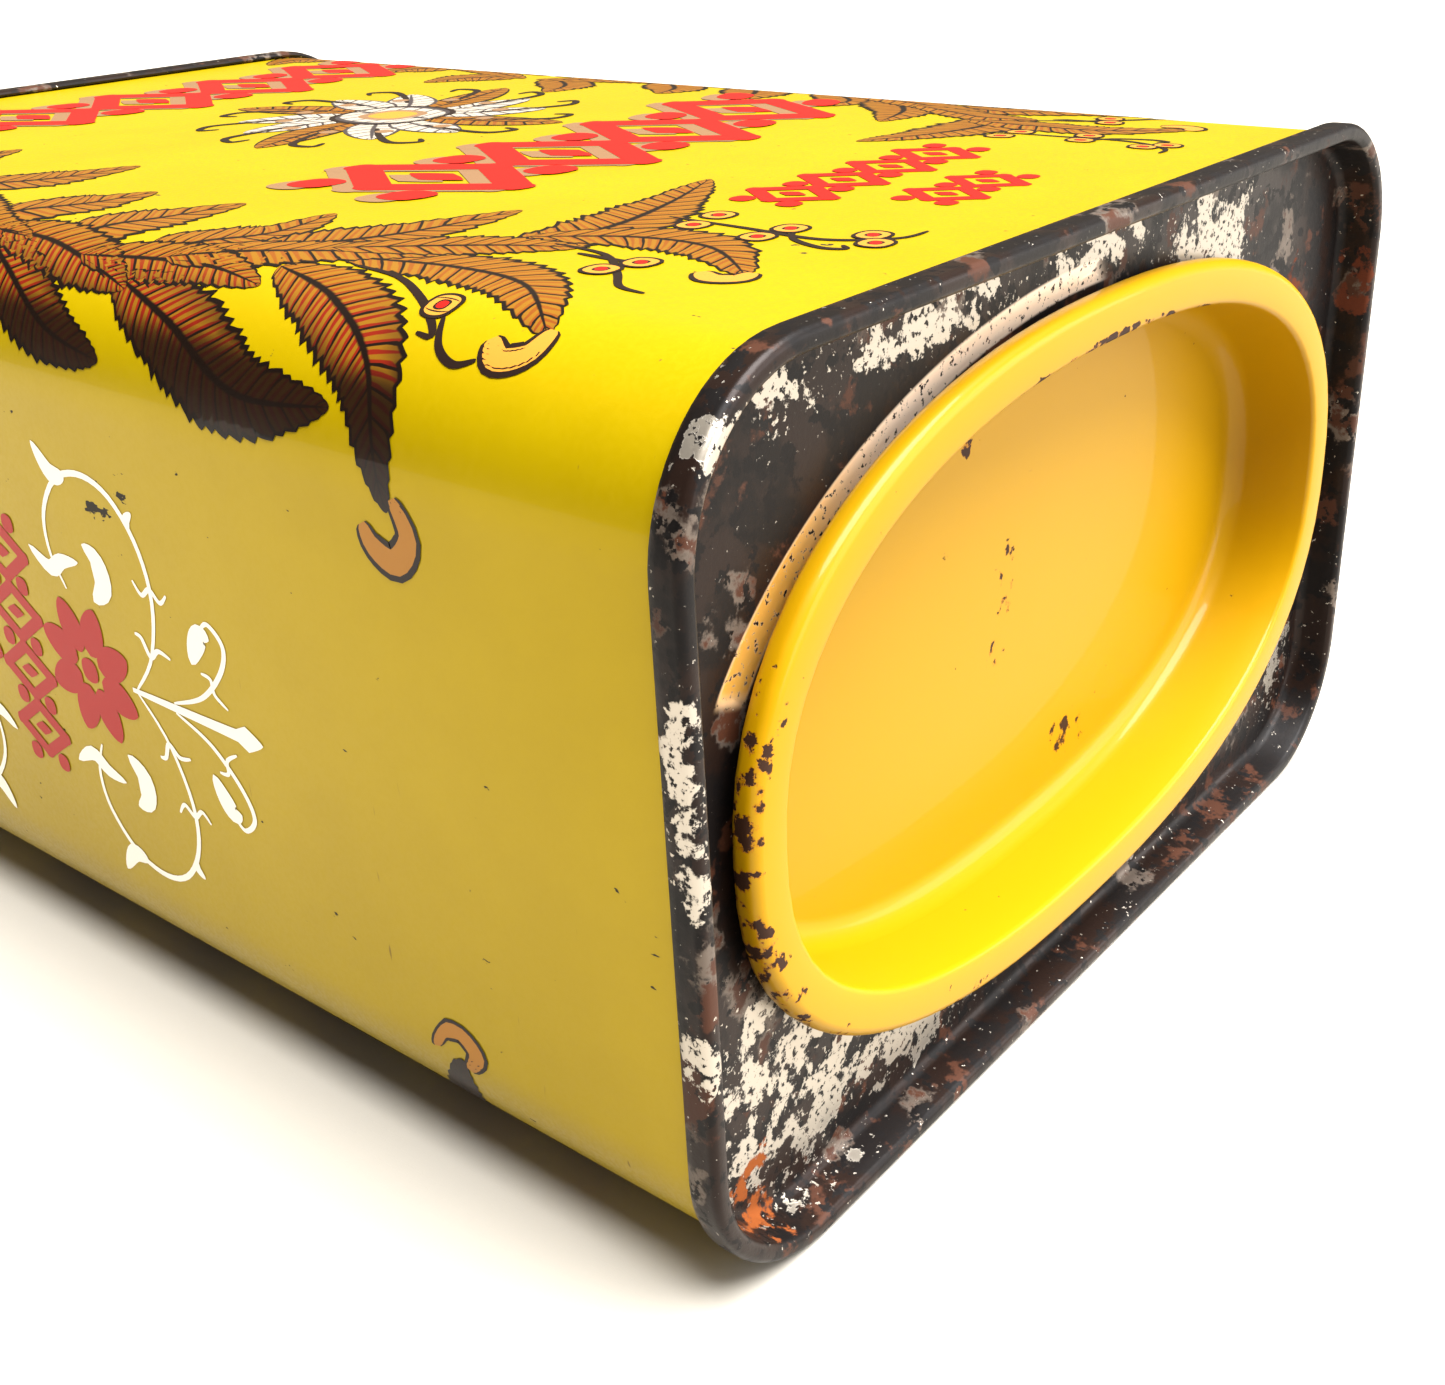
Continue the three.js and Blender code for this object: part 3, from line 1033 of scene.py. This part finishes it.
def draw_wreath(place, shortest=0):
    """Lays one branch. Leaves that reach below `shortest` along the tin are left out."""
    start_motif()
    leaves = [(*leaf, 0.3) for leaf in INNER_LEAVES]
    leaves += [(*leaf, 0.42) for leaf in OUTER_LEAVES + STEM_LEAVES]
    for line, widest, belly_at in leaves:
        if line[-1][0] < shortest:
            continue
        length = sum((Vector(b) - Vector(a)).length for a, b in zip(line, line[1:]))
        teeth = round(length / TOOTH_LENGTH)
        lay_mark("leaf", line, leaf_width(widest, teeth, belly_at), steps=teeth * 4, across=6,
                 lean=0.3, place=place)
    if shortest:
        return
    for line in CURLS:
        for ink, widest in CURL_WIDTHS:
            lay_mark(ink, line, stroke_width(widest), steps=16, across=4, place=place)
    for line in TENDRILS:
        lay_mark("outline", line, stroke_width(0.3), steps=24, place=place)
    for centre in BERRIES:
        for ink, radius in BERRY_RINGS:
            lay_dot(ink, centre, radius, place)


def far_side(point):
    """The branch on the other side is a narrower mirror image."""
    narrowing = 0.72 - 0.09 * min(max((point.x - 26) / 8, 0), 1)
    return Vector((point.x, FAR_MIDDLE - narrowing * point.y))


def other_half(place):
    return lambda point: place(Vector((2 * WREATH_MIDDLE - point.x, point.y)))


for place in (same_place, far_side):
    draw_wreath(place)
    draw_wreath(other_half(place), SHORT_BRANCH)
print("wreath marks:", {ink: len(group) for ink, group in marks.items()})

# %% [markdown]
# ### Red bands
#
# Two arched bands of red lozenges with a shadow to one side, and two short rows of small
# lozenges near the lid. A lozenge is drawn once and repeated along the band, and the arch
# is put in by bending the plan, so the drawing itself stays straight.

# %% Red bands
SHADOW_SHIFT = Vector((1.1, 1.3))
ARCH = 0.004
BANDS = [(47, 66, -35, 21, 4), (117, 135, -39, 17, 4)]
SMALL_ROWS = [(13, 19.5, -9, 3, 2), (23, 30.5, -18, 9, 4)]


def arched(middle, rise):
    return lambda point: Vector((point.x + rise * (point.y - middle) ** 2, point.y))


def shifted(place):
    return lambda point: place(point) + SHADOW_SHIFT


def draw_band(ink, start, end, low, high, count, place):
    """Thick open lozenges with a solid one inside, and discs in the gaps between them."""
    pitch = (high - low) / count
    middle = (start + end) / 2
    for index in range(count):
        around = low + pitch * (index + 0.5)
        wide = pitch * 0.42
        tips = [(start, around), (middle, around + wide), (end, around), (middle, around - wide)]
        for a, b in zip(tips, tips[1:] + tips[:1]):
            lay_mark(ink, [a, b], tapered(pitch * 0.1, pitch * 0.1), steps=3, across=1, place=place)
        for tip in tips:
            lay_dot(ink, tip, pitch * 0.105, place)
        inner = (end - start) * 0.18
        lay_mark(ink, [(middle - inner, around), (middle + inner, around)],
                 lozenge_width(pitch * 0.12), steps=4, across=2, place=place)
    for index in range(count + 1):
        around = low + pitch * index
        gap = (end - start) * 0.3
        for along in (middle - gap, middle + gap):
            lay_dot(ink, (along, around), pitch * 0.15, place)


for start, end, low, high, count in BANDS:
    start_motif()
    band_place = arched((low + high) / 2, ARCH)
    draw_band("shadow", start, end, low, high, count, shifted(band_place))
    draw_band("red", start, end, low, high, count, band_place)

for start, end, low, high, count in SMALL_ROWS:
    start_motif()
    draw_band("red", start, end, low, high, count, same_place)
print("red marks:", len(marks["red"]))

# %% [markdown]
# ### The rosette
#
# Twelve silver petals, with scrolls between them and a disc in the middle, fill the space
# between the bands. Every petal leans a little the same way, so the rosette seems to turn.

# %% Rosette
ROSETTE = Vector((90.5, -9))
PETALS = 12
DISCS = [("outline", 6.2), ("silver", 5.6), ("shadow", 3.4), ("gold", 2.4)]
start_motif()


def around_rosette(distance, angle):
    return ROSETTE + Vector((math.cos(angle), math.sin(angle))) * distance


turn = math.tau / PETALS / 4
for index in range(PETALS):
    angle = index * math.tau / PETALS
    reach = 21 if index % 3 == 0 else 16
    petal = [around_rosette(4.5, angle), around_rosette(reach * 0.6, angle + turn),
             around_rosette(reach, angle + turn * 1.6)]
    lay_mark("silver" if index % 3 else "leaf", petal, petal_width(2.9), steps=18, across=4)
for index in range(PETALS):
    angle = (index + 0.5) * math.tau / PETALS
    scroll = [around_rosette(9, angle - 0.10), around_rosette(14, angle - 0.02),
              around_rosette(18.5, angle + 0.06), around_rosette(19.5, angle + 0.2),
              around_rosette(17.6, angle + 0.22)]
    lay_mark("outline", scroll, stroke_width(0.42), steps=18)
    lay_dot("shadow", around_rosette(11.2, angle), 0.9)
for ink, radius in DISCS:
    lay_dot(ink, ROSETTE, radius)
print("silver marks:", len(marks["silver"]))

# %% [markdown]
# ### White scrolls on the narrow sides
#
# One quarter is drawn, and it is laid four times: mirrored across the middle of the narrow
# side and across the middle of the tin's length. Two red flowers and a row of lozenges
# stand between them.

# %% Scrolls
SIDE_MIDDLE = 79
LENGTH_MIDDLE = tin_length / MM / 2
FLOWER_MIDDLE = Vector((65, SIDE_MIDDLE))
FLOWER_PETALS = 8
SCROLL_LINES = [
    ([(58.4, 78.9), (55.4, 75.4), (53.7, 70.4), (54.2, 66), (56.6, 62.6), (60, 61.4), (63.8, 62.4),
      (66.6, 65.6), (67.1, 69), (65.8, 72)], 0.27),
    ([(53.4, 78.6), (49.4, 77), (46.4, 74.2), (45.4, 71.8), (46.9, 70.3), (48.2, 71.3)], 0.25),
    ([(51.6, 69.2), (52.6, 70), (53.7, 69.2), (54.9, 69.9), (55.8, 68.9)], 0.22),
    ([(52.7, 74.7), (54.2, 74.4), (55.4, 75.2), (56.2, 73.8), (57, 73.6)], 0.24),
    ([(46.2, 77.1), (47.6, 76.2), (47.8, 75), (48.9, 74.8)], 0.2),
]
SCROLL_LEAVES = [
    ([(62.4, 61.9), (64.4, 62), (66.2, 59.8)], 0.8),
    ([(54.8, 64.6), (54.9, 63.9), (54.1, 63.2)], 0.4),
    ([(70.2, 69.2), (67.6, 70.6), (65.6, 69.6), (63.2, 69.2)], 0.7),
    ([(62, 72.2), (60.2, 70.6), (60.4, 68.4), (62, 67.4)], 1.1),
    ([(49.9, 74.3), (49, 72.6), (48, 71.4), (47, 71.6)], 0.95),
]


def mirrored(across_side, across_length):
    def place(point):
        along = 2 * LENGTH_MIDDLE - point.x if across_length else point.x
        around = 2 * SIDE_MIDDLE - point.y if across_side else point.y
        return Vector((along, around))
    return place


start_motif()
for across_length in (False, True):
    for across_side in (False, True):
        place = mirrored(across_side, across_length)
        for line, widest in SCROLL_LINES:
            lay_mark("white", line, stroke_width(widest), steps=40, place=place)
        for line, widest in SCROLL_LEAVES:
            lay_mark("white", line, petal_width(widest), steps=12, across=4, place=place)
    place = mirrored(False, across_length)
    stem = [(59, SIDE_MIDDLE), (45.4, SIDE_MIDDLE)]
    bud = [(46.4, SIDE_MIDDLE), (42.5, SIDE_MIDDLE)]
    lay_mark("white", stem, tapered(0.2, 0.55), steps=8, place=place)
    lay_mark("white", bud, lozenge_width(1.1), steps=8, place=place)
    for step in range(FLOWER_PETALS):
        angle = (step + 0.5) * math.tau / FLOWER_PETALS
        outwards = Vector((math.cos(angle), math.sin(angle)))
        petal = [FLOWER_MIDDLE + outwards * reach for reach in (1.6, 4, 6.4)]
        lay_mark("red", petal, petal_width(1.5), steps=12, across=4, place=place)
    lay_dot("red", FLOWER_MIDDLE, 1.1, place)
start_motif()
draw_band("red", 71.5, 78.5, SIDE_MIDDLE - 11, SIDE_MIDDLE + 11, 4, same_place)
print("white marks:", len(marks["white"]))

# %% [markdown]
# ### Inks
#
# Leaves and petals share one finish with different colours. U is the distance along the
# strip in millimetres and V runs across it, so the rib, the outline and the slanting
# hatch lines are all simple sums of the two.

# %% Inks
HATCHING = 7.6
HATCH_LEAN = 8.0


def plain_ink(name, colour):
    return new_finish(name, Base_Color=colour, Metallic=0.0, Roughness=0.45,
                      Specular_IOR_Level=0.1, Coat_Weight=0.18, Coat_Roughness=0.06, Coat_IOR=1.5)


def hatched_ink(name, ground, warm_line, deep_ground, dark):
    """Slanting lines on a ground. `deep_ground` and `dark` take over where the tone is deep."""
    ink = plain_ink(name, ground)
    tree = ink.node_tree
    split = add_node(tree, "SeparateXYZ")
    tree.links.new(add_node(tree, "TexCoord").outputs["UV"], split.inputs[0])
    length, across = split.outputs["X"], split.outputs["Y"]
    aside = sums(tree, "SUBTRACT", across, 0.5, clamp=False)
    from_rib = sums(tree, "MULTIPLY", sums(tree, "ABSOLUTE", aside), 2.0)
    # The tone attribute darkens leaves towards the corner: partly print, partly painted shade.
    tone = add_node(tree, "Attribute")
    tone.attribute_name = "tone"
    deep = tone.outputs["Fac"]
    cover(ink, deep, Base_Color=deep_ground)
    slant = sums(tree, "MULTIPLY", from_rib, HATCH_LEAN, clamp=False)
    travel = sums(tree, "MULTIPLY", length, HATCHING, clamp=False)
    phase = sums(tree, "SUBTRACT", travel, slant, clamp=False)
    wave = sums(tree, "SINE", phase, clamp=False)
    thick = sums(tree, "SUBTRACT", 0.75, from_rib, clamp=False)
    warm = step_between(tree, sums(tree, "ADD", wave, thick, clamp=False), 0.35, 0.8)
    warmth = sums(tree, "ADD", sums(tree, "MULTIPLY", deep, 1.4), 0.45)
    cover(ink, sums(tree, "MULTIPLY", warm, warmth), Base_Color=warm_line)
    slow_wave = sums(tree, "SINE", sums(tree, "MULTIPLY", phase, 0.5, clamp=False), clamp=False)
    fine_line = step_between(tree, slow_wave, 0.82, 0.93)
    outer = sums(tree, "MULTIPLY", deep, step_between(tree, from_rib, 0.2, 1.0))
    black = sums(tree, "MAXIMUM", outer, step_between(tree, deep, 0.8, 1.0))
    deepening = sums(tree, "MAXIMUM", fine_line, sums(tree, "MULTIPLY", black, 0.94))
    cover(ink, deepening, Base_Color=dark)
    edge = step_between(tree, from_rib, 0.82, 0.89)
    rib = sums(tree, "SUBTRACT", 1.0, step_between(tree, from_rib, 0.05, 0.12))
    cover(ink, sums(tree, "MAXIMUM", edge, rib), Base_Color=dark)
    return ink


inks = {
    "leaf": hatched_ink(
        "leaf_ink", srgb(112, 74, 12), srgb(98, 20, 6), srgb(100, 66, 8), srgb(14, 6, 3),
    ),
    "silver": hatched_ink(
        "silver_ink", srgb(150, 142, 128), srgb(104, 92, 82), srgb(90, 84, 78), srgb(50, 44, 44),
    ),
    "outline": plain_ink("outline_ink", srgb(24, 13, 9)),
    "gold": plain_ink("gold_ink", srgb(160, 108, 36)),
    "red": plain_ink("red_ink", srgb(160, 16, 10)),
    "shadow": plain_ink("shadow_ink", srgb(112, 84, 58)),
    "white": plain_ink("white_ink", srgb(236, 232, 222)),
}

# %% [markdown]
# ### Joining the marks
#
# The marks of one ink are joined to one piece. The back and the other narrow side carry
# the same design, so each piece is copied and turned half round the tin's long axis.

# %% Join the marks, and print the other half
for ink, group in marks.items():
    bpy.ops.object.select_all(action="DESELECT")
    for mark in group:
        mark.select_set(True)
    bpy.context.view_layer.objects.active = group[0]
    bpy.ops.object.join()
    front_print = bpy.context.object
    bpy.ops.object.duplicate()
    bpy.ops.transform.rotate(value=math.pi, orient_axis="Y", center_override=(0, 0, middle_z))
    bpy.ops.object.transform_apply(location=True, rotation=True, scale=True)
    front_print.select_set(True)
    bpy.context.view_layer.objects.active = front_print
    bpy.ops.object.join()
    front_print.name = ink + "_print"
    front_print.data.materials.append(inks[ink])
    bpy.ops.object.shade_smooth()
    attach(front_print, "tin")
    print(front_print.name, "faces:", len(front_print.data.polygons))
